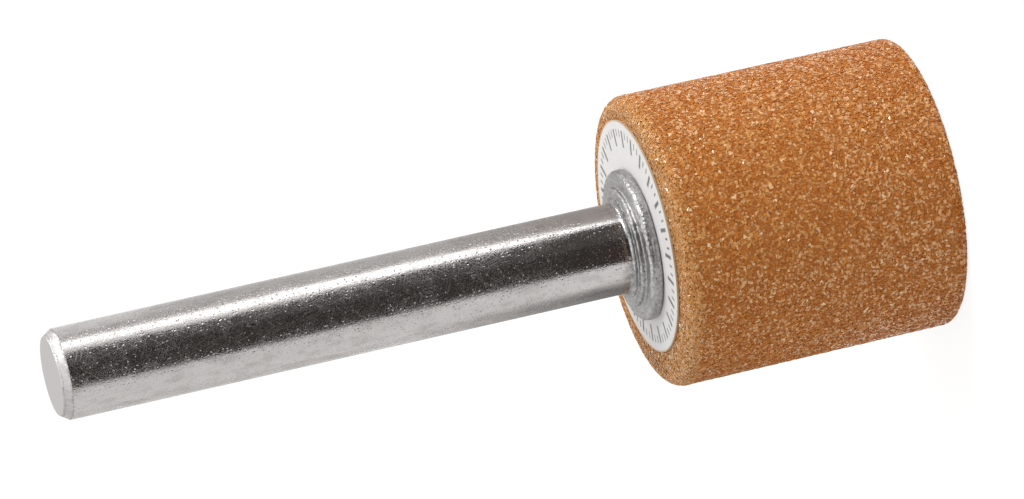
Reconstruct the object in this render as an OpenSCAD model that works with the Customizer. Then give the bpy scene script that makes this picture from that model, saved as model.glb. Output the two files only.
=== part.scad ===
// Mounted point: a cylinder of bonded abrasive grain on a plain steel shank.
// A round paper label lies on the wheel's end face, under a flanged collar.
// The point stands on the wheel's free end, with its shank up along Z.

/* [Wheel] */
// Diameter at the collar end
wheel_d = 19.4; // [16:0.1:26]
// Diameter at the free end, smaller by the mould's draft
wheel_free_d = 19.26; // [15:0.1:26]
// Length of the wheel
wheel_len = 19.2; // [16:0.1:32]
// Radius of the edge at the collar end
collar_end_r = 0.9; // [0.3:0.1:1.2]
// Radius of the edge at the free end
free_end_r = 0.4; // [0.3:0.1:2]
// Depth of the blind hole that takes the tang
hole_depth = 13; // [9:0.5:15]

/* [Shank] */
// Diameter that the collet grips
shank_d = 6; // [4:0.5:8]
// Length from the wheel's end face to the tip
shank_len = 40; // [25:1:60]
// Length of the bevel at the tip
bevel_len = 0.6; // [0.2:0.1:1]
// Depth of the bevel at the tip
bevel_depth = 0.4; // [0.1:0.05:0.8]
// Radius of the root fillet that spreads over the collar
root_fillet_r = 0.35; // [0.2:0.05:0.6]
// Thickness of the root fillet's rim
root_rim_t = 0.05; // [0.03:0.01:0.1]

/* [Tang] */
// Width of the shoulder between the shank and the neck that runs down into the tang
shoulder_w = 0.25; // [0.2:0.05:0.6]
// Gap between the shoulder and the top of the collar
shoulder_gap = 0.05; // [0.03:0.01:0.3]
// Thickness of the bond between the tang and its hole
bond_t = 0.1; // [0.05:0.05:0.2]
// Space left below the tip of the tang
tip_gap = 0.5; // [0.3:0.1:1]
// Number of straight knurl teeth
knurl_teeth = 20; // [14:1:30]
// Depth of the knurl
knurl_depth = 0.25; // [0.1:0.05:0.4]
// Number of key grooves round the tang
groove_count = 3; // [1:1:4]
// Width of a key groove
groove_w = 1.2; // [0.6:0.1:1.6]
// Depth of a key groove
groove_depth = 0.5; // [0.4:0.05:0.8]
// Bevel at the tip of the tang
tang_bevel = 0.6; // [0.3:0.1:1]

/* [Label] */
// Thickness of the paper
label_t = 0.12; // [0.08:0.01:0.3]
// Width of the bare face left round the label
label_margin = 1.95; // [1.8:0.05:2.6]
// How far the label was stuck off the wheel's centre
label_shift = 0.5; // [0:0.1:0.6]
// Room between the neck and the label's hole
label_room = 0.1; // [0.05:0.05:0.4]

/* [Collar] */
// Room between the neck and the collar's hole
collar_room = 0.03; // [0.02:0.01:0.1]
// Wall of the boss round the hole
boss_wall = 1.17; // [0.9:0.01:1.6]
// Height of the boss above the flange
boss_rise = 0.35; // [0.25:0.05:0.8]
// Radius of the boss's edge
boss_edge_r = 0.15; // [0.05:0.05:0.25]
// How far the flange reaches out past the boss
flange_reach = 1.05; // [0.8:0.05:1.5]
// Thickness of the flange
flange_t = 0.85; // [0.5:0.05:1.5]
// Radius of the flange's top edge
flange_edge_r = 0.4; // [0.2:0.05:0.45]
// Radius of the flange's under edge, next to the label
flange_under_r = 0.25; // [0.1:0.05:0.35]
// Fillet where the boss meets the flange
step_fillet_r = 0.12; // [0.05:0.01:0.15]
// Bevel at the mouth of the hole
mouth_bevel = 0.1; // [0.05:0.01:0.3]

/* [Hidden] */
$fn = 96;
overcut = 1;

wheel_r = wheel_d / 2;
wheel_free_r = wheel_free_d / 2;
shank_r = shank_d / 2;
neck_r = shank_r - shoulder_w;
hole_r = neck_r + bond_t;
tang_len = hole_depth - tip_gap;
tang_tip_z = wheel_len - tang_len;
shank_tip_z = wheel_len + shank_len;

label_r = wheel_r - label_margin;
label_hole_r = neck_r + label_shift + label_room;
collar_z = wheel_len + label_t;
collar_hole_r = neck_r + collar_room;
boss_r = collar_hole_r + boss_wall;
boss_h = flange_t + boss_rise;
flange_r = boss_r + flange_reach;
shoulder_z = collar_z + boss_h + shoulder_gap;
root_h = root_rim_t + root_fillet_r;
step_r = min(step_fillet_r, boss_rise - boss_edge_r);

// Angle by which the wheel's side leans out towards the collar end
draft = atan((wheel_r - wheel_free_r) / wheel_len);

// Radius of the wheel's side at a height
function side_r(z) = wheel_free_r + z * tan(draft);

// Centre of a round edge that is tangent to the wheel's side, at a height
function edge_centre(z, r) = [side_r(z) - r / cos(draft), z];

// Point where that round edge runs into the side
function edge_end(z, r) = edge_centre(z, r) + r * [cos(draft), -sin(draft)];

// Half section of a disc whose top edge is rounded
module rounded_disc_section(r, h, edge_r) {
    square([r - edge_r, h]);
    square([r, h - edge_r]);
    translate([r - edge_r, h - edge_r])
        circle(r = edge_r);
}

// Half section of the wheel, with its side leaning and both edges round
module wheel_section() {
    free_centre = edge_centre(free_end_r, free_end_r);
    collar_centre = edge_centre(wheel_len - collar_end_r, collar_end_r);
    polygon([
        [0, 0],
        [free_centre.x, 0],
        edge_end(free_end_r, free_end_r),
        edge_end(wheel_len - collar_end_r, collar_end_r),
        [collar_centre.x, wheel_len],
        [0, wheel_len]
    ]);
    translate(free_centre)
        circle(r = free_end_r);
    translate(collar_centre)
        circle(r = collar_end_r);
}

module abrasive_wheel() {
    color("peru")
    difference() {
        rotate_extrude()
            wheel_section();
        translate([0, 0, wheel_len - hole_depth])
            cylinder(r = hole_r, h = hole_depth + overcut);
    }
}

// Straight knurl: a rod whose outline steps between the teeth and their roots
module knurled_rod(r, depth, teeth, h) {
    outline = [
        for (i = [0 : 2 * teeth - 1])
        let (point_r = i % 2 == 0 ? r : r - depth)
        point_r * [cos(i * 180 / teeth), sin(i * 180 / teeth)]
    ];
    linear_extrude(height = h)
        polygon(outline);
}

// Ring that cuts a groove into a rod
module groove_cutter(rod_r, depth, w) {
    difference() {
        cylinder(r = rod_r + overcut, h = w, center = true);
        cylinder(r = rod_r - depth, h = w + overcut, center = true);
    }
}

// Tang from its bevelled tip at z = 0 up to the neck
module tang() {
    pitch = tang_len / (groove_count + 1);
    difference() {
        intersection() {
            knurled_rod(neck_r, knurl_depth, knurl_teeth, tang_len);
            union() {
                cylinder(r1 = neck_r - tang_bevel, r2 = neck_r, h = tang_bevel);
                translate([0, 0, tang_bevel])
                    cylinder(r = neck_r, h = tang_len);
            }
        }
        for (i = [1 : groove_count])
            translate([0, 0, i * pitch])
                groove_cutter(neck_r, groove_depth, groove_w);
    }
}

// Half section of the shank's root: a rim, with a hollow fillet up to the shank
module root_section() {
    root_r = shank_r + root_fillet_r;
    difference() {
        square([root_r, root_h]);
        translate([root_r, root_h])
            circle(r = root_fillet_r);
    }
}

module shank() {
    color("silver") {
        translate([0, 0, wheel_len])
            cylinder(r = neck_r, h = shoulder_z - wheel_len);
        translate([0, 0, shoulder_z])
            rotate_extrude()
                root_section();
        translate([0, 0, shoulder_z + root_h])
            cylinder(r = shank_r, h = shank_tip_z - bevel_len - shoulder_z - root_h);
        translate([0, 0, shank_tip_z - bevel_len])
            cylinder(r1 = shank_r, r2 = shank_r - bevel_depth, h = bevel_len);
        translate([0, 0, tang_tip_z])
            tang();
    }
}

// Half section of the flange, with both edges of its rim rounded
module flange_section() {
    rim_h = flange_t - flange_edge_r - flange_under_r;
    square([flange_r - max(flange_edge_r, flange_under_r), flange_t]);
    square([flange_r - flange_under_r, flange_under_r + rim_h]);
    translate([0, flange_under_r]) {
        square([flange_r, rim_h]);
        square([flange_r - flange_edge_r, rim_h + flange_edge_r]);
    }
    translate([flange_r - flange_edge_r, flange_t - flange_edge_r])
        circle(r = flange_edge_r);
    translate([flange_r - flange_under_r, flange_under_r])
        circle(r = flange_under_r);
}

// Half section of the collar before its hole is cut
module collar_section() {
    flange_section();
    rounded_disc_section(boss_r, boss_h, boss_edge_r);
    difference() {
        translate([boss_r, flange_t])
            square(step_r);
        translate([boss_r + step_r, flange_t + step_r])
            circle(r = step_r);
    }
}

module collar() {
    color("darkgray")
    translate([0, 0, collar_z])
    difference() {
        rotate_extrude()
            collar_section();
        translate([0, 0, -overcut])
            cylinder(r = collar_hole_r, h = boss_h + 2 * overcut);
        translate([0, 0, boss_h - mouth_bevel])
            cylinder(r1 = collar_hole_r, r2 = collar_hole_r + mouth_bevel, h = mouth_bevel);
    }
}

module label() {
    color("ivory")
    translate([label_shift, 0, wheel_len])
    difference() {
        cylinder(r = label_r, h = label_t);
        translate([0, 0, -overcut])
            cylinder(r = label_hole_r, h = label_t + 2 * overcut);
    }
}

abrasive_wheel();
shank();
collar();
label();
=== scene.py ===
"""Looks of a mounted point: a grinding wheel of amber grain on a plated steel shank."""

import math

import bpy
import numpy as np
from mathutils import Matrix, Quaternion, Vector, noise


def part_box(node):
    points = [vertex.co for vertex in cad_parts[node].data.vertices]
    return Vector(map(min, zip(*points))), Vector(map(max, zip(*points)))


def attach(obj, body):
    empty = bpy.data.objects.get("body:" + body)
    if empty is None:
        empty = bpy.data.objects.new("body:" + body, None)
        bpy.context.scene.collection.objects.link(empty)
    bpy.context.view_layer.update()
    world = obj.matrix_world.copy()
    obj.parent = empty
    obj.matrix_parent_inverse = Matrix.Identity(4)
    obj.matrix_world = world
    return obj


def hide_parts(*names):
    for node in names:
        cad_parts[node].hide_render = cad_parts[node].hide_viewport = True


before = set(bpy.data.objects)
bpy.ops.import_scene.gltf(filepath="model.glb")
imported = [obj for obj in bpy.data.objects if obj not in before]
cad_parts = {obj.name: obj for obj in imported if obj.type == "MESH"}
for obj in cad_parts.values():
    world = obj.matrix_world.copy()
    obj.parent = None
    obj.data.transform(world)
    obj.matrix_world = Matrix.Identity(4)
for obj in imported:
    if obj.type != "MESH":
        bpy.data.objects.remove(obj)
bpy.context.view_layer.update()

# Lengths are in millimetres. MM turns them into Blender's metres, and TINY keeps divisors off zero.
MM = 0.001
TINY = 1e-9


# Sizes from the frame

def box_mm(node):
    """Lowest and highest corner of a node."""
    low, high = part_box(node)
    return Vector(low) / MM, Vector(high) / MM


wheel_low, wheel_high = box_mm("abrasive_wheel")
shank_low, shank_high = box_mm("shank")
collar_low, collar_high = box_mm("collar")
label_low, label_high = box_mm("label")

WHEEL_R = (wheel_high.x - wheel_low.x) / 2
WHEEL_LEN = wheel_high.z
ROOT_R = (shank_high.x - shank_low.x) / 2
SHANK_TIP = shank_high.z
COLLAR_R = (collar_high.x - collar_low.x) / 2
COLLAR_BASE = collar_low.z
COLLAR_TOP = collar_high.z
LABEL_R = (label_high.x - label_low.x) / 2
LABEL_X = (label_high.x + label_low.x) / 2


# Mesh helpers

def add_mesh(name, points_mm, faces, smooth=True):
    """New object from points and a list of faces."""
    mesh = bpy.data.meshes.new(name)
    mesh.from_pydata((np.asarray(points_mm) * MM).tolist(), [], faces)
    mesh.polygons.foreach_set("use_smooth", [smooth] * len(mesh.polygons))
    mesh.update()
    piece = bpy.data.objects.new(name, mesh)
    bpy.context.scene.collection.objects.link(piece)
    return piece


def arc(centre_r, centre_z, radius, start_deg, end_deg, steps):
    """Points (r, z) along an arc of a lathe profile."""
    angles = np.radians(np.linspace(start_deg, end_deg, steps + 1))
    return [(centre_r + radius * math.cos(a), centre_z + radius * math.sin(a)) for a in angles]


def spaced(profile, step):
    """The profile again, with points no further apart than step."""
    points = [profile[0]]
    for (r0, z0), (r1, z1) in zip(profile, profile[1:]):
        count = max(1, math.ceil(math.hypot(r1 - r0, z1 - z0) / step))
        for i in range(1, count + 1):
            points.append((r0 + (r1 - r0) * i / count, z0 + (z1 - z0) * i / count))
    return points


def lathe(name, profile, turns, relief):
    """Turns a profile of (r, z) points about Z.

    relief(point) says how far a point off the axis moves out along its normal.
    """
    profile = np.array(profile)
    angles = np.arange(turns) * 2 * math.pi / turns
    tangents = np.gradient(profile, axis=0)
    normals = np.stack([tangents[:, 1], -tangents[:, 0]], axis=1)
    normals /= np.linalg.norm(normals, axis=1)[:, None] + TINY
    points = []
    for (r, z), (normal_r, normal_z) in zip(profile, normals):
        for a in angles:
            out = Vector((math.cos(a), math.sin(a), 0))
            point = out * r + Vector((0, 0, z))
            if r > 0:
                point += relief(point) * (out * normal_r + Vector((0, 0, normal_z)))
            points.append(point)
    faces = []
    for ring in range(len(profile) - 1):
        low, high = ring * turns, (ring + 1) * turns
        for i in range(turns):
            j = (i + 1) % turns
            faces.append((low + i, low + j, high + j, high + i))
    return add_mesh(name, points, faces)


# Wheel: a body of bond, with sharp grains set in it and dressed flush

WHEEL_DRAFT = 0.07
COLLAR_END_R = 0.9
FREE_END_R = 0.4


def wheel_side_r(z):
    """Radius of the wheel's side at a height."""
    return WHEEL_R - WHEEL_DRAFT * (1 - z / WHEEL_LEN)


def wheel_profile(inset):
    """Profile of the wheel from its free end to its collar end, set in from the true surface."""
    top_r = wheel_side_r(WHEEL_LEN) - inset
    free_r = wheel_side_r(0) - inset
    return (
        [(0.0, inset)]
        + arc(free_r - FREE_END_R, FREE_END_R + inset, FREE_END_R, -90, 0, steps=6)
        + arc(top_r - COLLAR_END_R, WHEEL_LEN - inset - COLLAR_END_R, COLLAR_END_R, 0, 90, steps=8)
        + [(ROOT_R, WHEEL_LEN - inset)]
    )


BOND_INSET = 0.075
BOND_RELIEF = 0.04
BOND_LUMP = 0.3
BOND_STEP = 0.25
BOND_TURNS = 320


def bond_relief(point):
    """Rough surface of the bond between the grains."""
    return BOND_RELIEF * noise.noise(point / BOND_LUMP)


def make_bond():
    """Body of the wheel below its grains."""
    return lathe("wheel_bond", spaced(wheel_profile(BOND_INSET), BOND_STEP), BOND_TURNS, bond_relief)


# Jitter is a share of the pitch, skew and sink of a grain's size, and its square of a cell of the map.
GRAIN_PITCH = 0.2
ROW_PITCH = 0.87 * GRAIN_PITCH
SEAT_JITTER = 0.4
GRAIN_SIZE = (0.18, 0.39)
GRAIN_STRETCH = (0.6, 1.3)
GRAIN_SKEW = 0.12
GRAIN_SINK = (0.05, 0.3)
GRAIN_PROUD = (-0.03, 0.015)
GRAIN_SEED = 11
GRAIN_BANDS = 4
GRAIN_SQUARE = 0.9
LABEL_OVERLAP = 0.3
END_FACE_DEPTH = 0.2

OCTAHEDRON = np.array([(1, 0, 0), (-1, 0, 0), (0, 1, 0), (0, -1, 0), (0, 0, 1), (0, 0, -1)], float)
OCTAHEDRON_FACES = np.array([
    (0, 2, 4), (2, 1, 4), (1, 3, 4), (3, 0, 4), (2, 0, 5), (1, 2, 5), (3, 1, 5), (0, 3, 5),
])
CORNERS = len(OCTAHEDRON)
LOWER_CORNER = CORNERS - 1


def grain_seats(rng):
    """Points on the wheel's surface, about one grain apart, with their outward normals."""
    seats, normals = [], []
    profile = np.array(spaced(wheel_profile(0.0), ROW_PITCH))
    tangents = np.gradient(profile, axis=0)
    for (r, z), (dr, dz) in zip(profile, tangents):
        count = max(1, round(2 * math.pi * r / GRAIN_PITCH))
        aside = rng.uniform(-SEAT_JITTER, SEAT_JITTER, count)
        angles = (np.arange(count) + aside + rng.uniform()) * 2 * math.pi / count
        shift = rng.uniform(-SEAT_JITTER, SEAT_JITTER, count) * GRAIN_PITCH
        length = math.hypot(dr, dz)
        ring_r, ring_z = r + shift * dr / length, z + shift * dz / length
        out_r, out_z = dz / length, -dr / length
        cos, sin = np.cos(angles), np.sin(angles)
        seats.append(np.stack([ring_r * cos, ring_r * sin, ring_z], axis=1))
        normals.append(np.stack([out_r * cos, out_r * sin, np.full(count, out_z)], axis=1))
    seats, normals = np.concatenate(seats), np.concatenate(normals)
    from_label = np.hypot(seats[:, 0] - LABEL_X, seats[:, 1])
    under_label = (seats[:, 2] > WHEEL_LEN - END_FACE_DEPTH) & (from_label < LABEL_R - LABEL_OVERLAP)
    return seats[~under_label], normals[~under_label]


def random_turns(rng, count):
    """Random rotation matrices, from random quaternions."""
    quaternions = rng.normal(size=(count, 4))
    w, x, y, z = quaternions.T / np.linalg.norm(quaternions, axis=1)
    return np.stack([
        np.stack([1 - 2 * (y * y + z * z), 2 * (x * y - z * w), 2 * (x * z + y * w)], axis=1),
        np.stack([2 * (x * y + z * w), 1 - 2 * (x * x + z * z), 2 * (y * z - x * w)], axis=1),
        np.stack([2 * (x * z - y * w), 2 * (y * z + x * w), 1 - 2 * (x * x + y * y)], axis=1),
    ], axis=1)


def wheel_distance(points):
    """Signed distance of points from the wheel's true surface, and the outward direction there."""
    r = np.hypot(points[:, 0], points[:, 1])
    z = points[:, 2]
    upper = z > WHEEL_LEN / 2
    edge = np.where(upper, COLLAR_END_R, FREE_END_R)
    over_r = r - (wheel_side_r(z) - edge)
    over_z = np.abs(z - WHEEL_LEN / 2) - (WHEEL_LEN / 2 - edge)
    corner = np.hypot(np.maximum(over_r, 0), np.maximum(over_z, 0))
    distance = corner + np.minimum(np.maximum(over_r, over_z), 0) - edge
    both = (over_r > 0) & (over_z > 0)
    part_r = np.where(both, over_r / (corner + TINY), over_r > over_z)
    part_z = np.where(both, over_z / (corner + TINY), over_r <= over_z) * np.where(upper, 1, -1)
    out_x, out_y = part_r * points[:, 0] / (r + TINY), part_r * points[:, 1] / (r + TINY)
    return distance, np.stack([out_x, out_y, part_z], axis=1)


def make_grain():
    """Sharp crushed grains, half sunk in the bond and cut back where they stand proud."""
    rng = np.random.default_rng(GRAIN_SEED)
    seats, normals = grain_seats(rng)
    count = len(seats)
    size = rng.uniform(*GRAIN_SIZE, count)
    reach = rng.uniform(*GRAIN_STRETCH, (count, CORNERS)) * size[:, None] / 2
    corners = OCTAHEDRON[None] * reach[:, :, None]
    corners += rng.normal(scale=GRAIN_SKEW, size=corners.shape) * size[:, None, None]
    corners = np.einsum("nij,nkj->nki", random_turns(rng, count), corners)
    centres = seats - normals * (size * rng.uniform(*GRAIN_SINK, count))[:, None]
    points = (corners + centres[:, None]).reshape(-1, 3)
    distance, out = wheel_distance(points)
    proud = np.repeat(rng.uniform(*GRAIN_PROUD, count), CORNERS)
    points -= out * np.maximum(distance - proud, 0)[:, None]
    points = points.reshape(count, CORNERS, 3)
    tones = rng.uniform(size=count)
    bands = np.digitize(seats[:, 2], [WHEEL_LEN * b / GRAIN_BANDS for b in range(1, GRAIN_BANDS)])
    return [grain_band(band, points[bands == band], tones[bands == band]) for band in range(GRAIN_BANDS)]


def grain_band(band, corners, tones):
    """One piece of the grain, a band along the wheel."""
    count = len(corners)
    faces = (OCTAHEDRON_FACES[None] + CORNERS * np.arange(count)[:, None, None]).reshape(-1, 3)
    piece = add_mesh(f"wheel_grain_{band + 1}", corners.reshape(-1, 3), faces.tolist(), smooth=False)
    tone = piece.data.attributes.new("grain_tone", "FLOAT", "POINT")
    tone.data.foreach_set("value", np.repeat(tones, CORNERS))
    lay_out_grains(piece, count)
    return piece


def lay_out_grains(piece, count):
    """Map of the faces, with a square for each grain.

    A grain's upper point is in the middle of its square, and its lower point is at the corners.
    """
    middle = np.array([0.5, 0.5])
    sides = np.array([(1, 0.5), (0, 0.5), (0.5, 1), (0.5, 0), middle])
    square = np.array([
        [sides[k] if k < LOWER_CORNER else sides[face[0]] + sides[face[1]] - middle for k in face]
        for face in OCTAHEDRON_FACES
    ])
    across = math.ceil(math.sqrt(count))
    cells = np.stack([np.arange(count) % across, np.arange(count) // across], axis=1)
    places = (cells[:, None, None] + middle + (square - middle) * GRAIN_SQUARE) / across
    piece.data.uv_layers.new(name="OFBake").data.foreach_set("uv", places.ravel())


# Collar: the cast form with its lumps and chipped edges, and a lip against the shank

COLLAR_HOLE_R = 2.85
BOSS_R = 3.95
BOSS_EDGE_R = 0.15
FLANGE_T = 0.85
FLANGE_EDGE_R = 0.4
FLANGE_UNDER_R = 0.25
STEP_R = 0.12
LIP = 0.045
COLLAR_STEP = 0.06
COLLAR_TURNS = 400

CAST_LUMP = 0.6
CAST_RELIEF = 0.03
CAST_CHIP = 0.14
CAST_CHIP_DEPTH = 0.03
SEAT_FADE = 0.12


def cast_relief(point):
    """Lumps and small chips of the casting, none where it sits on the label."""
    seated = min(1.0, (point.z - COLLAR_BASE) / SEAT_FADE)
    lumps = CAST_RELIEF * noise.noise(point / CAST_LUMP)
    chips = CAST_CHIP_DEPTH * noise.noise(point / CAST_CHIP)
    return seated * (lumps + chips)


def make_collar():
    """Flanged collar, with a rolled rim and a boss that steps up to the shank."""
    top = COLLAR_TOP
    step = COLLAR_BASE + FLANGE_T
    under = COLLAR_BASE + FLANGE_UNDER_R
    profile = (
        [(COLLAR_HOLE_R, COLLAR_BASE)]
        + arc(COLLAR_R - FLANGE_UNDER_R, under, FLANGE_UNDER_R, -90, 0, steps=7)
        + arc(COLLAR_R - FLANGE_EDGE_R, step - FLANGE_EDGE_R, FLANGE_EDGE_R, 0, 90, steps=10)
        + arc(BOSS_R + STEP_R, step + STEP_R, STEP_R, 270, 180, steps=4)
        + arc(BOSS_R - BOSS_EDGE_R, top - BOSS_EDGE_R, BOSS_EDGE_R, 0, 90, steps=5)
        + [(ROOT_R + LIP, top), (ROOT_R, top + LIP), (COLLAR_HOLE_R, top + LIP)]
    )
    return lathe("collar_casting", spaced(profile, COLLAR_STEP), COLLAR_TURNS, cast_relief)


# Node helpers

# The mix node names its inputs alike for numbers, vectors and colours, so its colours go by number.
MIX_FACTOR = 0
MIX_COLOURS = (6, 7)
MIX_RESULT = 2
STEP_SOFT = 0.05


class Nodes:
    """A node tree, with short calls for its nodes and links."""

    def __init__(self, tree):
        self.tree = tree
        self.tree.nodes.clear()

    def add(self, kind, **settings):
        """New node, with its settings and the values of its inputs."""
        node = self.tree.nodes.new(kind)
        for name, value in settings.items():
            if name in node.inputs:
                node.inputs[name].default_value = value
            else:
                setattr(node, name, value)
        return node

    def join(self, source, target):
        """Link from an output to an input."""
        self.tree.links.new(source, target)

    def feed(self, value, target):
        """Joins a socket to an input, or sets the input to a plain number, vector or colour."""
        if isinstance(value, bpy.types.NodeSocket):
            self.join(value, target)
        else:
            target.default_value = (*value, 1.0) if target.type == "RGBA" else value

    def place(self):
        """Point on the piece, in metres."""
        return self.add("ShaderNodeTexCoord").outputs["Object"]

    def parts(self, vector):
        """X, Y and Z of a vector."""
        node = self.add("ShaderNodeSeparateXYZ")
        self.join(vector, node.inputs[0])
        return node.outputs

    def vector(self, *values):
        """Vector of three values, each a socket or a number."""
        node = self.add("ShaderNodeCombineXYZ")
        for value, target in zip(values, node.inputs):
            self.feed(value, target)
        return node.outputs[0]

    def axis_height(self):
        """Height along the part's axis, in millimetres."""
        return self.maths("DIVIDE", self.parts(self.place())["Z"], MM)

    def maths(self, operation, *values):
        """Result of a maths operation on values, each a socket or a number."""
        node = self.add("ShaderNodeMath", operation=operation)
        for value, target in zip(values, node.inputs):
            self.feed(value, target)
        return node.outputs[0]

    def vector_maths(self, operation, *values):
        """Result of a maths operation on vectors, each a socket or three numbers."""
        node = self.add("ShaderNodeVectorMath", operation=operation)
        for value, target in zip(values, node.inputs):
            self.feed(value, target)
        return node.outputs["Vector"]

    def spread(self, source, low, high):
        """Maps a 0 to 1 value onto a range."""
        node = self.add("ShaderNodeMapRange")
        node.inputs["To Min"].default_value = low
        node.inputs["To Max"].default_value = high
        self.join(source, node.inputs["Value"])
        return node.outputs["Result"]

    def fade(self, source, start, end):
        """Smooth rise from 0 at start to 1 at end."""
        node = self.add("ShaderNodeMapRange", interpolation_type="SMOOTHSTEP")
        self.feed(start, node.inputs["From Min"])
        self.feed(end, node.inputs["From Max"])
        self.join(source, node.inputs["Value"])
        return node.outputs["Result"]

    def step(self, source, place, below=False):
        """Soft step to 1 above a place in millimetres, or below it."""
        low, high = place - STEP_SOFT, place + STEP_SOFT
        return self.fade(source, high, low) if below else self.fade(source, low, high)

    def cloud(self, place, size, detail):
        """Noise over places, in patches of about a size in metres."""
        node = self.add("ShaderNodeTexNoise", Detail=detail)
        self.join(place, node.inputs["Vector"])
        self.join(self.maths("DIVIDE", 1.0, size), node.inputs["Scale"])
        return node.outputs["Fac"]

    def sharpen(self, source, sharpness):
        """Draws a 0 to 1 value away from its middle."""
        node = self.add("ShaderNodeMath", operation="MULTIPLY_ADD", use_clamp=True)
        for value, target in zip((self.maths("SUBTRACT", source, 0.5), sharpness, 0.5), node.inputs):
            self.feed(value, target)
        return node.outputs[0]

    def ramp(self, source, stops):
        """Colour ramp over (place, colour) stops."""
        node = self.add("ShaderNodeValToRGB")
        while len(node.color_ramp.elements) < len(stops):
            node.color_ramp.elements.new(1.0)
        for element, (place, colour) in zip(node.color_ramp.elements, stops):
            element.position = place
            element.color = (*colour, 1.0)
        self.join(source, node.inputs["Fac"])
        return node.outputs["Color"]

    def blend(self, factor, *colours):
        """Mixes two colours, each a socket or a plain colour."""
        node = self.add("ShaderNodeMix", data_type="RGBA")
        self.join(factor, node.inputs[MIX_FACTOR])
        for colour, number in zip(colours, MIX_COLOURS):
            self.feed(colour, node.inputs[number])
        return node.outputs[MIX_RESULT]


class Effect(Nodes):
    """A node group with number inputs and outputs, to be placed in materials."""

    def __init__(self, name, outputs, **inputs):
        super().__init__(bpy.data.node_groups.new(name, "ShaderNodeTree"))
        for label, value in inputs.items():
            self.new_socket(label, "INPUT").default_value = value
        for label in outputs:
            self.new_socket(label, "OUTPUT")
        self.given = self.add("NodeGroupInput").outputs
        self.result = self.add("NodeGroupOutput").inputs

    def new_socket(self, label, in_out):
        """New number that the group takes in or puts out."""
        return self.tree.interface.new_socket(label, in_out=in_out, socket_type="NodeSocketFloat")


class Shader(Nodes):
    """A material with one Principled surface."""

    def __init__(self, name):
        self.material = bpy.data.materials.new(name)
        self.material.use_nodes = True
        super().__init__(self.material.node_tree)
        output = self.add("ShaderNodeOutputMaterial")
        self.surface = self.add("ShaderNodeBsdfPrincipled")
        self.join(self.surface.outputs["BSDF"], output.inputs["Surface"])

    def give(self, name, value):
        """Sets an input of the surface to a socket or a plain value."""
        self.feed(value, self.surface.inputs[name])

    def group(self, tree, **values):
        """Outputs of an effect, placed with its own values."""
        return self.add("ShaderNodeGroup", node_tree=tree, **values).outputs

    def bump(self, height, distance_mm, below=None):
        """Bump from a height, on top of another bump's normal."""
        node = self.add("ShaderNodeBump", Distance=distance_mm * MM)
        self.join(height, node.inputs["Height"])
        if below is not None:
            self.join(below, node.inputs["Normal"])
        return node.outputs["Normal"]


# Effects that the finishes share

DENT_REACH = 0.45
HAIR_TOP = 0.8
HAIR_SPAN = 0.4
HAIR_WAVER = 0.3


def mottle_effect():
    """Cloudy patches: Mask runs from 0 to 1 in patches of about Size metres."""
    effect = Effect("mottle", ["Mask"], Size=1.0 * MM, Sharpness=2.0)
    cloud = effect.cloud(effect.place(), effect.given["Size"], detail=4.0)
    effect.join(effect.sharpen(cloud, effect.given["Sharpness"]), effect.result["Mask"])
    return effect.tree


def dents_effect():
    """Small round dents, Spacing metres apart: Height dips in the share of cells that Density gives."""
    effect = Effect("dents", ["Height", "Mask"], Spacing=0.2 * MM, Density=0.5)
    cells = effect.add("ShaderNodeTexVoronoi")
    effect.join(effect.place(), cells.inputs["Vector"])
    effect.join(effect.maths("DIVIDE", 1.0, effect.given["Spacing"]), cells.inputs["Scale"])
    tone = effect.add("ShaderNodeSeparateColor")
    effect.join(cells.outputs["Color"], tone.inputs["Color"])
    chosen = effect.maths("LESS_THAN", tone.outputs["Red"], effect.given["Density"])
    dip = effect.fade(cells.outputs["Distance"], DENT_REACH, 0.0)
    mask = effect.maths("MULTIPLY", dip, chosen)
    effect.join(mask, effect.result["Mask"])
    effect.join(effect.maths("MULTIPLY", mask, -1.0), effect.result["Height"])
    return effect.tree


def streaks_effect():
    """Fine grain drawn out along the axis: Mask runs from 0 to 1, in flecks Width metres wide."""
    effect = Effect("streaks", ["Mask"], Width=0.1 * MM, Stretch=4.0, Sharpness=2.0)
    extent = effect.vector(1.0, 1.0, effect.given["Stretch"])
    drawn = effect.vector_maths("DIVIDE", effect.place(), extent)
    grain = effect.cloud(drawn, effect.given["Width"], detail=2.0)
    effect.join(effect.sharpen(grain, effect.given["Sharpness"]), effect.result["Mask"])
    return effect.tree


def scratches_effect():
    """Hairline scratches on a rod of Radius metres, Turn radians from its rings: Mask is 1 on them."""
    effect = Effect("scratches", ["Mask"], Radius=3.0 * MM, Turn=0.5, Length=2.0 * MM, Width=0.04 * MM,
                    Amount=0.1)
    given = effect.given
    parts = effect.parts(effect.place())
    girth = effect.maths("MULTIPLY", effect.maths("ARCTAN2", parts["Y"], parts["X"]), given["Radius"])
    turned = effect.add("ShaderNodeVectorRotate", rotation_type="Z_AXIS")
    effect.join(effect.vector(girth, parts["Z"], 0.0), turned.inputs["Vector"])
    effect.join(given["Turn"], turned.inputs["Angle"])
    extent = effect.vector(given["Length"], given["Width"], 1.0)
    drawn = effect.vector_maths("DIVIDE", turned.outputs[0], extent)
    hairs = effect.add("ShaderNodeTexNoise", noise_dimensions="2D", Scale=1.0, Detail=0.0,
                       Distortion=HAIR_WAVER)
    effect.join(drawn, hairs.inputs["Vector"])
    above = effect.maths("MULTIPLY_ADD", given["Amount"], -HAIR_SPAN, HAIR_TOP)
    effect.join(effect.fade(hairs.outputs["Fac"], above, HAIR_TOP), effect.result["Mask"])
    return effect.tree


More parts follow.
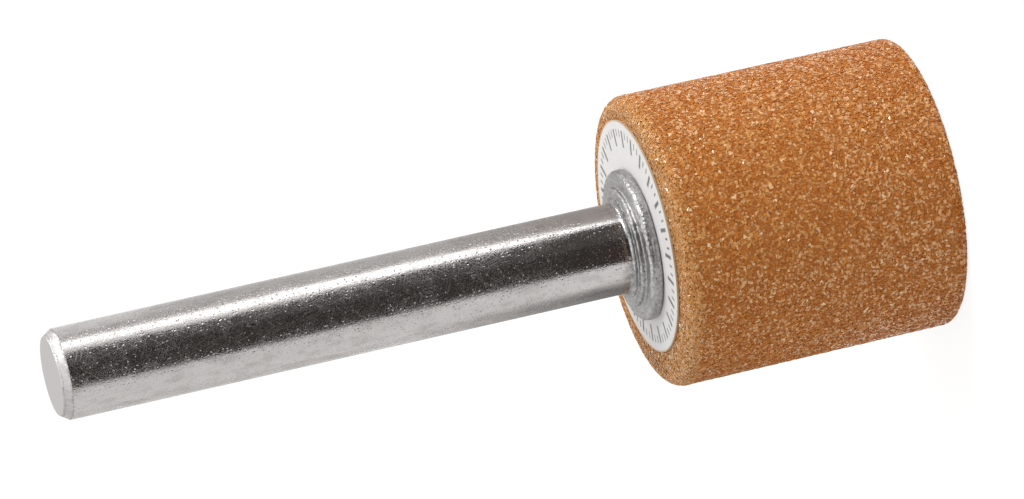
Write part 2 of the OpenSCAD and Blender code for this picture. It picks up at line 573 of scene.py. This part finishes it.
def painted_rim_light_effect():
    """Painted light towards a rim: Mask rises from 0 at a height of Start metres to Share at Full."""
    effect = Effect("painted_rim_light", ["Mask"], Start=0.0, Full=1.0 * MM, Share=1.0)
    height = effect.parts(effect.place())["Z"]
    rise = effect.fade(height, effect.given["Start"], effect.given["Full"])
    effect.join(effect.maths("MULTIPLY", rise, effect.given["Share"]), effect.result["Mask"])
    return effect.tree


mottle = mottle_effect()
dents = dents_effect()
streaks = streaks_effect()
scratches = scratches_effect()
painted_rim_light = painted_rim_light_effect()


# Finish of the wheel

GRAIN_TONES = [
    (0.0, (0.38, 0.104, 0.0125)),
    (0.35, (0.465, 0.16, 0.0255)),
    (0.7, (0.533, 0.225, 0.052)),
    (0.96, (0.63, 0.327, 0.116)),
    (1.0, (0.78, 0.53, 0.295)),
]
GRAIN_ROUGHNESS = (0.3, 0.5)
GRAIN_SPECULAR = 0.2
GLOSSY_TONES = (0.5, 0.6)
GLOSS_ROUGHNESS = 0.06
GLOSS_IOR = 1.6

BOND_TONES = [(0.0, (0.465, 0.147, 0.015)), (1.0, (0.56, 0.21, 0.0365))]
BOND_ROUGHNESS = (0.35, 0.6)
BOND_BUMP = 0.05

GLOW_WEIGHT = 0.4
GLOW_REACH = 0.2
GLOW_COLOUR_REACH = (1.0, 1.0, 1.0)

# Painted light: the rim at the collar end is paled towards this tone, as if lit and glowing through.
RIM_LIGHT_START = WHEEL_LEN - 1.5
RIM_LIGHT_SHARE = 0.45
RIM_LIGHT_TONE = (0.44, 0.265, 0.1)


def amber_grain():
    """Clear amber crystals, each with its own tone. The paler ones are glossy."""
    shader = Shader("amber_grain")
    tone = shader.add("ShaderNodeAttribute", attribute_name="grain_tone").outputs["Fac"]
    speck = shader.group(mottle, Size=0.3 * MM, Sharpness=2.0)["Mask"]
    # Base colour, with painted light paling the rim at the collar end.
    shader.give("Base Color", paint_rim_light(shader, shader.ramp(tone, GRAIN_TONES)))
    shader.give("Roughness", shader.spread(speck, *GRAIN_ROUGHNESS))
    shader.give("Specular IOR Level", GRAIN_SPECULAR)
    shader.give("Coat Weight", shader.fade(tone, *GLOSSY_TONES))
    shader.give("Coat Roughness", GLOSS_ROUGHNESS)
    shader.give("Coat IOR", GLOSS_IOR)
    glow_through(shader)
    return shader.material


def amber_bond():
    """Orange-brown bond between the grains."""
    shader = Shader("amber_bond")
    cloud = shader.group(mottle, Size=0.5 * MM, Sharpness=2.5)["Mask"]
    fine = shader.group(mottle, Size=0.15 * MM, Sharpness=2.0)["Mask"]
    # Base colour, with painted light paling the rim at the collar end.
    shader.give("Base Color", paint_rim_light(shader, shader.ramp(cloud, BOND_TONES)))
    shader.give("Roughness", shader.spread(cloud, *BOND_ROUGHNESS))
    shader.give("Normal", shader.bump(fine, BOND_BUMP))
    glow_through(shader)
    return shader.material


def paint_rim_light(shader, colour):
    """Pales a colour towards the rim at the collar end, as painted light: the light that falls on the rim
    and glows through its thin edge.
    """
    rim = shader.group(painted_rim_light, Start=RIM_LIGHT_START * MM, Full=WHEEL_LEN * MM, Share=RIM_LIGHT_SHARE)["Mask"]
    return shader.blend(rim, colour, RIM_LIGHT_TONE)


def glow_through(shader):
    """Light that soaks into the amber and comes out again beside where it fell."""
    shader.surface.subsurface_method = "BURLEY"
    shader.give("Subsurface Weight", GLOW_WEIGHT)
    shader.give("Subsurface Radius", GLOW_COLOUR_REACH)
    shader.give("Subsurface Scale", GLOW_REACH * MM)


# Finish of the shank

PLATING_TONES = [(0.0, (0.46, 0.44, 0.43)), (0.4, (0.525, 0.506, 0.496)), (1.0, (0.548, 0.529, 0.52))]
BARE_TONES = [(0.0, (0.53, 0.514, 0.507)), (1.0, (0.62, 0.604, 0.596))]
# Dull crust of the root, darkened further as painted shade where the shank meets the collar.
CRUST_AND_SHADE_TONES = [(0.0, (0.17, 0.172, 0.173)), (1.0, (0.385, 0.392, 0.395))]
END_TONE = (0.595, 0.575, 0.568)
# Colour of the dark lines along both edges of the bevel.
EDGE_LINE_TONE = (0.2, 0.18, 0.165)

BEVEL_START = SHANK_TIP - 0.6
BEVEL_EDGE = BEVEL_START + 0.06
BEVEL_RAGGED = 0.08
END_START = SHANK_TIP - 0.03
EDGE_LINE_PLACES = (BEVEL_START + 0.08, SHANK_TIP - 0.06)
EDGE_LINE_WIDTH = 0.03
ROOT_START = COLLAR_TOP - 0.5
ROOT_END = COLLAR_TOP + 0.7
ROOT_RAGGED = 0.6
WEAR_START = COLLAR_TOP + 2.0
WEAR_FULL = COLLAR_TOP + 7.0

# Scuffs are shares of the full scuff. A scratch is (angle in degrees, length, amount).
PATCH_SCUFF = (0.5, 1.0)
SMEAR_SCUFF = 0.35
WEAR_SCUFF = (0.35, 1.0)
SPOT_SCUFF = 1.3
STEEL_SCRATCHES = [(25, 1.6, 0.1), (-50, 1.2, 0.08), (75, 2.4, 0.1)]
STEEL_ROUGHNESS = (0.065, 0.46)
BEVEL_ROUGHNESS = 0.45
ROOT_ROUGHNESS = 0.4
FLECK_BUMP = 0.002
DENT_BUMP = 0.02
WEAR_DENTS = (0.6, 1.0)


def plated_steel():
    """Bright tumbled plating, scuffed in fine flecks, with a bare bevel, a satin end and a dull root,
    darkened with painted shade.
    """
    shader = Shader("plated_steel")
    fleck = shader.group(streaks, Width=0.08 * MM, Stretch=1.5, Sharpness=4.0)["Mask"]
    smear = shader.group(streaks, Width=0.3 * MM, Stretch=2.0, Sharpness=4.0)["Mask"]
    height = shader.axis_height()
    bevel_height = shader.maths("MULTIPLY_ADD", smear, BEVEL_RAGGED, height)
    bevel = shader.step(bevel_height, BEVEL_EDGE)
    root = shader.fade(shader.maths("MULTIPLY_ADD", smear, -ROOT_RAGGED, height), ROOT_END, ROOT_START)

    stain = shader.group(streaks, Width=0.6 * MM, Stretch=2.5, Sharpness=3.0)["Mask"]
    colour = shader.blend(bevel, shader.ramp(stain, PLATING_TONES), shader.ramp(smear, BARE_TONES))
    # Dark broken lines along both edges of the bevel.
    for place in EDGE_LINE_PLACES:
        colour = shader.blend(dark_edge_line(shader, bevel_height, place, fleck), colour, EDGE_LINE_TONE)
    colour = shader.blend(shader.step(height, END_START), colour, END_TONE)
    # The root: dull crust, darkened as painted shade at the joint with the collar.
    colour = shader.blend(root, colour, shader.ramp(fleck, CRUST_AND_SHADE_TONES))
    shader.give("Base Color", colour)
    shader.give("Metallic", 1.0)

    wear = shader.fade(height, WEAR_START, WEAR_FULL)
    scuffed = shader.spread(steel_scuff(shader, fleck, smear, wear), *STEEL_ROUGHNESS)
    for mask, roughness in ((bevel, BEVEL_ROUGHNESS), (root, ROOT_ROUGHNESS)):
        scuffed = shader.maths("MAXIMUM", scuffed, shader.maths("MULTIPLY", mask, roughness))
    shader.give("Roughness", scuffed)
    shader.give("Normal", steel_dents(shader, fleck, wear))
    return shader.material


def dark_edge_line(shader, height, place, broken):
    """Broken dark line along an edge of the bevel."""
    gap = shader.maths("ABSOLUTE", shader.maths("SUBTRACT", height, place))
    return shader.maths("MULTIPLY", shader.step(gap, EDGE_LINE_WIDTH, below=True), broken)


def steel_scuff(shader, fleck, smear, wear):
    """Scuffs of the plating, from 0 where it is bright: flecks, smears, spots and scratches."""
    worn = shader.spread(wear, *WEAR_SCUFF)
    patch = shader.group(mottle, Size=1.6 * MM, Sharpness=3.0)["Mask"]
    spot = shader.group(dents, Spacing=0.15 * MM, Density=0.3)["Mask"]
    flecks = shader.maths("MULTIPLY", fleck, shader.spread(patch, *PATCH_SCUFF))
    scuff = shader.maths("MAXIMUM", flecks, shader.maths("MULTIPLY", smear, SMEAR_SCUFF))
    scuff = shader.maths("MULTIPLY", scuff, worn)
    scuff = shader.maths("MAXIMUM", scuff, shader.maths("MULTIPLY", spot, SPOT_SCUFF))
    for turn, length, amount in STEEL_SCRATCHES:
        hair = shader.group(scratches, Turn=math.radians(turn), Length=length * MM, Amount=amount)["Mask"]
        scuff = shader.maths("MAXIMUM", scuff, shader.maths("MULTIPLY", hair, worn))
    return scuff


def steel_dents(shader, fleck, wear):
    """Normal of the plating, with fine flecks and with tumbling dents that are shallow by the collar."""
    dent = shader.group(dents, Spacing=0.19 * MM, Density=0.3)["Height"]
    depth = shader.maths("MULTIPLY", dent, shader.spread(wear, *WEAR_DENTS))
    return shader.bump(depth, DENT_BUMP, below=shader.bump(fleck, FLECK_BUMP))


# Finish of the collar

CAST_TONES = [(0.0, (0.45, 0.44, 0.433)), (1.0, (0.64, 0.632, 0.625))]
GRIT_TONE = (0.2, 0.195, 0.19)
GRIT_SHARE = (0.0, 0.65)
CAST_ROUGHNESS = (0.32, 0.46)
GRIT_BUMP = 0.015
PIT_BUMP = 0.02


def cast_zinc():
    """Dull cast metal of the collar, mottled and finely pitted."""
    shader = Shader("cast_zinc")
    cloud = shader.group(mottle, Size=0.7 * MM, Sharpness=2.2)["Mask"]
    grit = shader.group(mottle, Size=0.2 * MM, Sharpness=3.0)["Mask"]
    pits = shader.group(dents, Spacing=0.22 * MM, Density=0.3)["Height"]
    colour = shader.ramp(cloud, CAST_TONES)
    shader.give("Base Color", shader.blend(shader.spread(grit, *GRIT_SHARE), colour, GRIT_TONE))
    shader.give("Metallic", 1.0)
    shader.give("Roughness", shader.spread(cloud, *CAST_ROUGHNESS))
    shader.give("Normal", shader.bump(pits, PIT_BUMP, below=shader.bump(grit, GRIT_BUMP)))
    return shader.material


# Finish of the label

PAPER_TONES = [(0.0, (0.69, 0.672, 0.655)), (1.0, (0.75, 0.736, 0.725))]
PAPER_ROUGHNESS = (0.5, 0.65)
INK_TONE = (0.05, 0.045, 0.04)
INK_SHARE = (0.65, 1.0)
CUT_EDGE_TONE = (0.55, 0.42, 0.28)
CUT_EDGE = 0.1

# Each set of ticks: their number, their width, and the radii between which they run
TICK_SETS = [(24, 0.26, (6.0, 7.15)), (72, 0.14, (6.65, 7.15))]


def label_paper():
    """White paper with a ring of plain printed ticks and a bare tan edge."""
    shader = Shader("label_paper")
    cloud = shader.group(mottle, Size=1.5 * MM, Sharpness=1.6)["Mask"]
    wear = shader.group(mottle, Size=0.3 * MM, Sharpness=1.5)["Mask"]
    radius, angle = label_polar(shader)
    ticks = [printed_ticks(shader, radius, angle, *tick_set) for tick_set in TICK_SETS]
    ink = shader.maths("MULTIPLY", shader.maths("MAXIMUM", *ticks), shader.spread(wear, *INK_SHARE))
    colour = shader.blend(ink, shader.ramp(cloud, PAPER_TONES), INK_TONE)
    edge = shader.step(radius, LABEL_R - CUT_EDGE)
    shader.give("Base Color", shader.blend(edge, colour, CUT_EDGE_TONE))
    shader.give("Roughness", shader.spread(cloud, *PAPER_ROUGHNESS))
    return shader.material


def label_polar(shader):
    """Radius in millimetres and angle about the label's own centre."""
    shifted = shader.vector_maths("SUBTRACT", shader.place(), (LABEL_X * MM, 0, 0))
    flat = shader.vector_maths("MULTIPLY", shifted, (1 / MM, 1 / MM, 0))
    length = shader.add("ShaderNodeVectorMath", operation="LENGTH")
    shader.join(flat, length.inputs[0])
    parts = shader.parts(flat)
    return length.outputs["Value"], shader.maths("ARCTAN2", parts["Y"], parts["X"])


def printed_ticks(shader, radius, angle, count, width, ring):
    """Mask of evenly spaced radial ticks between two radii."""
    inner, outer = ring
    pitch = 2 * math.pi / count
    turn = shader.maths("PINGPONG", angle, pitch / 2)
    aside = shader.maths("MULTIPLY", turn, radius)
    on_line = shader.step(aside, width / 2, below=True)
    in_ring = shader.maths("MULTIPLY", shader.step(radius, inner), shader.step(radius, outer, below=True))
    return shader.maths("MULTIPLY", on_line, in_ring)


# The part

def dress(piece, material):
    """Gives a piece one material."""
    piece.data.materials.clear()
    piece.data.materials.append(material)


bond = make_bond()
dress(bond, amber_bond())
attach(bond, "root")
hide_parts("abrasive_wheel")

grain_finish = amber_grain()
for grain in make_grain():
    dress(grain, grain_finish)
    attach(grain, "root")

dress(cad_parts["shank"], plated_steel())
casting = make_collar()
dress(casting, cast_zinc())
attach(casting, "root")
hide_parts("collar")
dress(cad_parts["label"], label_paper())


# Stage

FLOOR_SIDE = 6000.0
FLOOR_TONE = (0.8, 0.8, 0.8)
FLOOR_SEEN_TONE = (0.25, 0.25, 0.25)
FLOOR_GLOW = 0.82
STUDIO_LEVEL = (0.85, 1.0)


def seen_ray(nodes):
    """1 for camera, glossy and transmission rays."""
    path = nodes.add("ShaderNodeLightPath").outputs
    seen = nodes.maths("MAXIMUM", path["Is Camera Ray"], path["Is Glossy Ray"])
    return nodes.maths("MAXIMUM", seen, path["Is Transmission Ray"])


def white_stage():
    """White floor that glows for the camera and for reflections, and still takes the part's shadow."""
    material = bpy.data.materials.new("white_stage")
    material.use_nodes = True
    nodes = Nodes(material.node_tree)
    output = nodes.add("ShaderNodeOutputMaterial")
    paper = nodes.add("ShaderNodeBsdfDiffuse", Color=(*FLOOR_TONE, 1.0))
    seen_paper = nodes.add("ShaderNodeBsdfDiffuse", Color=(*FLOOR_SEEN_TONE, 1.0))
    glow = nodes.add("ShaderNodeEmission", Strength=FLOOR_GLOW)
    lifted = nodes.add("ShaderNodeAddShader")
    either = nodes.add("ShaderNodeMixShader")
    nodes.join(seen_paper.outputs[0], lifted.inputs[0])
    nodes.join(glow.outputs[0], lifted.inputs[1])
    nodes.join(seen_ray(nodes), either.inputs["Fac"])
    nodes.join(paper.outputs[0], either.inputs[1])
    nodes.join(lifted.outputs[0], either.inputs[2])
    nodes.join(either.outputs[0], output.inputs["Surface"])
    return material


def make_floor():
    """Wide floor under the part."""
    half = FLOOR_SIDE / 2
    corners = [(-half, -half, 0), (half, -half, 0), (half, half, 0), (-half, half, 0)]
    return add_mesh("floor", corners, [(0, 1, 2, 3)], smooth=False)


def make_world():
    """Even white studio, dimmer as a lamp than it looks."""
    world = bpy.data.worlds.new("studio")
    world.use_nodes = True
    nodes = Nodes(world.node_tree)
    output = nodes.add("ShaderNodeOutputWorld")
    back = nodes.add("ShaderNodeBackground")
    nodes.join(nodes.spread(seen_ray(nodes), *STUDIO_LEVEL), back.inputs["Strength"])
    nodes.join(back.outputs[0], output.inputs["Surface"])
    bpy.context.scene.world = world


floor = make_floor()
dress(floor, white_stage())

make_world()


# Cards that only reflections see. They shade the shank, as boards do in a studio.

CARD_COLUMNS = 25
CARD_ROWS = 7
CARD_FOOT = 0.5
CARD_TOP = 62.0
SHADE_FOOT = 11.0

DARK_GREY = (0.057, 0.05, 0.045)
SHADE_GREY = (0.1, 0.096, 0.092)
DIM_GREY = (0.13, 0.125, 0.12)
MID_GREY = (0.62, 0.606, 0.593)
LIGHT_GREY = (0.78, 0.77, 0.76)
PALE_GREY = (0.82, 0.81, 0.8)
WHITE = (1.0, 1.0, 1.0)

# Each card: name, distance, colour, colour at its top and ends, and columns of (azimuth, low, high)
CARDS = [
    ("dark_card", 35.0, DARK_GREY, DARK_GREY,
     [(-41, 46, CARD_TOP), (-37, 10, CARD_TOP), (-36, CARD_FOOT, CARD_TOP), (20, CARD_FOOT, CARD_TOP)]),
    ("dim_card", 35.5, DIM_GREY, DIM_GREY,
     [(19, CARD_FOOT, CARD_TOP), (48, CARD_FOOT, CARD_TOP), (49.5, CARD_FOOT, 37),
      (61, CARD_FOOT, 24), (66, CARD_FOOT, 16), (68, CARD_FOOT, 2)]),
    ("low_grey_card", 60.0, LIGHT_GREY, LIGHT_GREY,
     [(-190, CARD_FOOT, CARD_TOP), (-120, CARD_FOOT, CARD_TOP)]),
    ("high_grey_card", 60.0, PALE_GREY, PALE_GREY,
     [(78, 40, CARD_TOP), (85, 28, CARD_TOP), (86.5, 17, CARD_TOP),
      (89, CARD_FOOT, CARD_TOP), (110, CARD_FOOT, 40), (160, CARD_FOOT, 40)]),
    # Painted shadow: a dark sheet, seen only in reflections, standing in for the wheel's shadow along the
    # shank's lower edge near the collar.
    ("low_shade_card", 33.0, SHADE_GREY, WHITE,
     [(-79, CARD_FOOT, 12), (-100, CARD_FOOT, 27), (-150, CARD_FOOT, 32), (-200, CARD_FOOT, 32)]),
    # Painted shade: a grey sheet, seen only in reflections, that darkens the shank's upper edge near the
    # collar.
    ("high_shade_card", 33.0, MID_GREY, PALE_GREY,
     [(73, SHADE_FOOT, 14), (78, SHADE_FOOT, 20), (83, SHADE_FOOT, 26),
      (100, SHADE_FOOT, 24), (190, SHADE_FOOT, 26)]),
]


def around(azimuth_deg, distance, height):
    """Point beside the part. Azimuth 0 is the camera's side, and 90 is the top of the picture."""
    a = math.radians(azimuth_deg)
    return Vector((distance * math.sin(a), -distance * math.cos(a), height))


def card_finish(name, colour, end_colour):
    """Matt board, whose colour follows its tone."""
    shader = Shader(name)
    tone = shader.add("ShaderNodeAttribute", attribute_name="card_tone").outputs["Fac"]
    shader.give("Base Color", shader.ramp(tone, [(0.0, colour), (1.0, end_colour)]))
    shader.give("Roughness", 1.0)
    return shader.material


def add_card(name, distance, colour, end_colour, columns):
    """Upright card, bent around the part, between the low and high edges that its columns give."""
    azimuths, lows, highs = np.array(sorted(columns)).T
    first, last = columns[0][0], columns[-1][0]
    points, tones = [], []
    for row in range(CARD_ROWS):
        up = row / (CARD_ROWS - 1)
        for i, azimuth in enumerate(np.linspace(first, last, CARD_COLUMNS)):
            low, high = np.interp(azimuth, azimuths, lows), np.interp(azimuth, azimuths, highs)
            points.append(around(azimuth, distance, low + (high - low) * up))
            aside = abs(2 * i / (CARD_COLUMNS - 1) - 1)
            tones.append(max(up, aside) ** 2)
    faces = [(k, k + 1, k + 1 + CARD_COLUMNS, k + CARD_COLUMNS)
             for row in range(CARD_ROWS - 1)
             for k in range(row * CARD_COLUMNS, (row + 1) * CARD_COLUMNS - 1)]
    card = add_mesh(name, points, faces)
    card.data.attributes.new("card_tone", "FLOAT", "POINT").data.foreach_set("value", tones)
    dress(card, card_finish(name, colour, end_colour))
    card.visible_camera = False
    card.visible_diffuse = False
    card.visible_shadow = False


for card_row in CARDS:
    add_card(*card_row)


# Lamps

KEY_WIDTH = 28.0
KEY_HEIGHT = 90.0
KEY_LIFT = 1.0
KEY_AZIMUTH = 73.0
KEY_DISTANCE = 75.0
KEY_RADIANCE = 1.95

# Each spark lamp: name, azimuth, elevation, width and radiance
SPARKS = [("spark_lamp", 62.0, 40.0, 70.0, 15.0), ("high_spark_lamp", 108.0, 34.0, 60.0, 8.0)]
SPARK_DISTANCE = 250.0

TOP_WIDTH = 260.0
TOP_HEIGHT = 250.0
TOP_RADIANCE = 0.9


def add_lamp(name, place, aim, width, height, radiance, shape="RECTANGLE"):
    """Soft lamp of a plain radiance, at a place, that faces a point."""
    lamp = bpy.data.lights.new(name, "AREA")
    lamp.shape = shape
    lamp.size = width * MM
    if shape == "RECTANGLE":
        lamp.size_y = height * MM
    face = width * height * MM * MM * (math.pi / 4 if shape == "DISK" else 1)
    lamp.energy = radiance * math.pi * face
    piece = bpy.data.objects.new(name, lamp)
    piece.location = place * MM
    piece.rotation_mode = "QUATERNION"
    piece.rotation_quaternion = (aim - place).to_track_quat("-Z", "Y")
    piece.visible_camera = False
    bpy.context.scene.collection.objects.link(piece)


key_place = around(KEY_AZIMUTH, KEY_DISTANCE, KEY_HEIGHT / 2 + KEY_LIFT)
add_lamp("key_box", key_place, Vector((0, 0, key_place.z)), KEY_WIDTH, KEY_HEIGHT, KEY_RADIANCE)

wheel_middle = Vector((0, 0, WHEEL_LEN / 2))
for lamp_name, azimuth_deg, elevation_deg, spark_width, spark_radiance in SPARKS:
    elevation = math.radians(elevation_deg)
    away, up = SPARK_DISTANCE * math.cos(elevation), SPARK_DISTANCE * math.sin(elevation)
    spark_place = wheel_middle + around(azimuth_deg, away, up)
    add_lamp(lamp_name, spark_place, wheel_middle, spark_width, spark_width, spark_radiance, "DISK")

top_place = Vector((0, 0, WHEEL_LEN + TOP_HEIGHT))
add_lamp("top_lamp", top_place, wheel_middle, TOP_WIDTH, TOP_WIDTH, TOP_RADIANCE, "DISK")


# Camera

CAMERA_AIM = Vector((1.44, 0.0, 27.72))
CAMERA_DISTANCE = 531.4
CAMERA_ELEVATION = 14.268
CAMERA_ROLL = -102.696
CAMERA_LENS = 287.84
CAMERA_SENSOR = 36.0
CAMERA_CLIP = (10.0, 20000.0)


def make_camera():
    """Camera at the photograph's angle: the part's axis runs down to the left across the picture."""
    camera = bpy.data.cameras.new("camera")
    camera.lens = CAMERA_LENS
    camera.sensor_width = CAMERA_SENSOR
    camera.clip_start, camera.clip_end = (clip * MM for clip in CAMERA_CLIP)
    piece = bpy.data.objects.new("camera", camera)
    elevation = math.radians(CAMERA_ELEVATION)
    back = Vector((0, -math.cos(elevation), math.sin(elevation)))
    piece.location = (CAMERA_AIM + back * CAMERA_DISTANCE) * MM
    piece.rotation_mode = "QUATERNION"
    roll = Quaternion((0, 0, 1), math.radians(CAMERA_ROLL))
    piece.rotation_quaternion = (-back).to_track_quat("-Z", "Y") @ roll
    bpy.context.scene.collection.objects.link(piece)
    bpy.context.scene.camera = piece


make_camera()
bpy.context.scene.view_settings.view_transform = "Standard"
